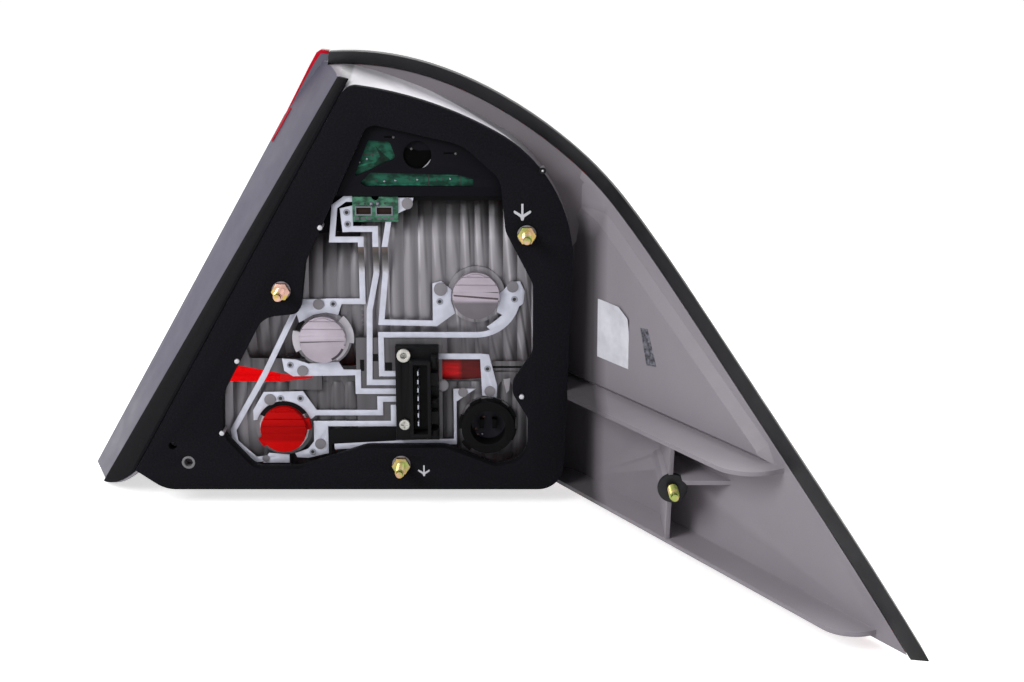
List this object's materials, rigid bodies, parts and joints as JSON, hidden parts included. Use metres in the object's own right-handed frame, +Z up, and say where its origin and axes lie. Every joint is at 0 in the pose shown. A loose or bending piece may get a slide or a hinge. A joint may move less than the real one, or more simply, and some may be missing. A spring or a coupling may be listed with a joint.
{
  "type": "tail light cluster",
  "caption": "Wrap-round tail light cluster seen from its car side: bucket with sealing gasket, stamped circuit, bulb holders, ribbed wing and red lens.",
  "frame": {"origin": "on the axis of the lower fixing stud, in the plane of the gasket's sealing face", "axes": "+X outboard, +Y rearward to the lens, +Z up as fitted; the studs point along -Y into the car body"},
  "size_m": [0.487, 0.3537, 0.2824],
  "materials": {
    "housing_grey": "fine satin grain",
    "lens_red": "clear red, polished",
    "lens_clear": "clear, polished",
    "foam_black": "matt closed-cell foam",
    "rubber_black": "satin",
    "reflector_silver": "metallised",
    "circuit_metal": "bright tinned",
    "screw_steel": "darkened",
    "holder_silver": "metallised",
    "holder_red": "red, satin",
    "socket_black": "satin",
    "board_green": "lacquered board",
    "led_red": "clear red",
    "bulb_base": "plain",
    "bulb_glass": "clear",
    "stud_zinc": "yellow zinc plate"
  },
  "bodies": {
    "root": {"housing": "housing_grey", "lens_red": "lens_red", "lens_clear": "lens_clear", "gasket": "foam_black", "inboard_foam_strip": "foam_black", "edge_seal": "rubber_black", "locating_bush": "socket_black", "reflector_upper": "reflector_silver", "reflector_lower": "reflector_silver", "circuit_rivets": "circuit_metal", "turn_holder": "holder_silver", "reverse_holder": "holder_silver", "tail_holder": "holder_red", "fog_socket": "socket_black", "fog_contacts": "circuit_metal", "connector_body": "socket_black", "connector_blades": "circuit_metal", "connector_screws": "screw_steel", "led_cover": "socket_black", "led_board": "board_green", "stop_leds": "led_red", "led_feed_board": "board_green", "stud_lower": "stud_zinc", "stud_inboard": "stud_zinc", "stud_upper": "stud_zinc", "wing_stud": "stud_zinc", "wing_washer": "rubber_black", "ground_strip": "circuit_metal", "stop_feed_strip": "circuit_metal", "stop_return_strip": "circuit_metal", "turn_feed_strip": "circuit_metal", "reverse_feed_strip": "circuit_metal", "tail_feed_strip": "circuit_metal", "rear_fog_feed_strip": "circuit_metal", "fog_feed_strip": "circuit_metal", "earth_link_strip": "circuit_metal", "turn_bulb_base": "bulb_base", "turn_bulb_glass": "bulb_glass", "reverse_bulb_base": "bulb_base", "reverse_bulb_glass": "bulb_glass", "tail_bulb_base": "bulb_base", "tail_bulb_glass": "bulb_glass", "fog_bulb_base": "bulb_base", "fog_bulb_glass": "bulb_glass"}
  },
  "joints": []
}
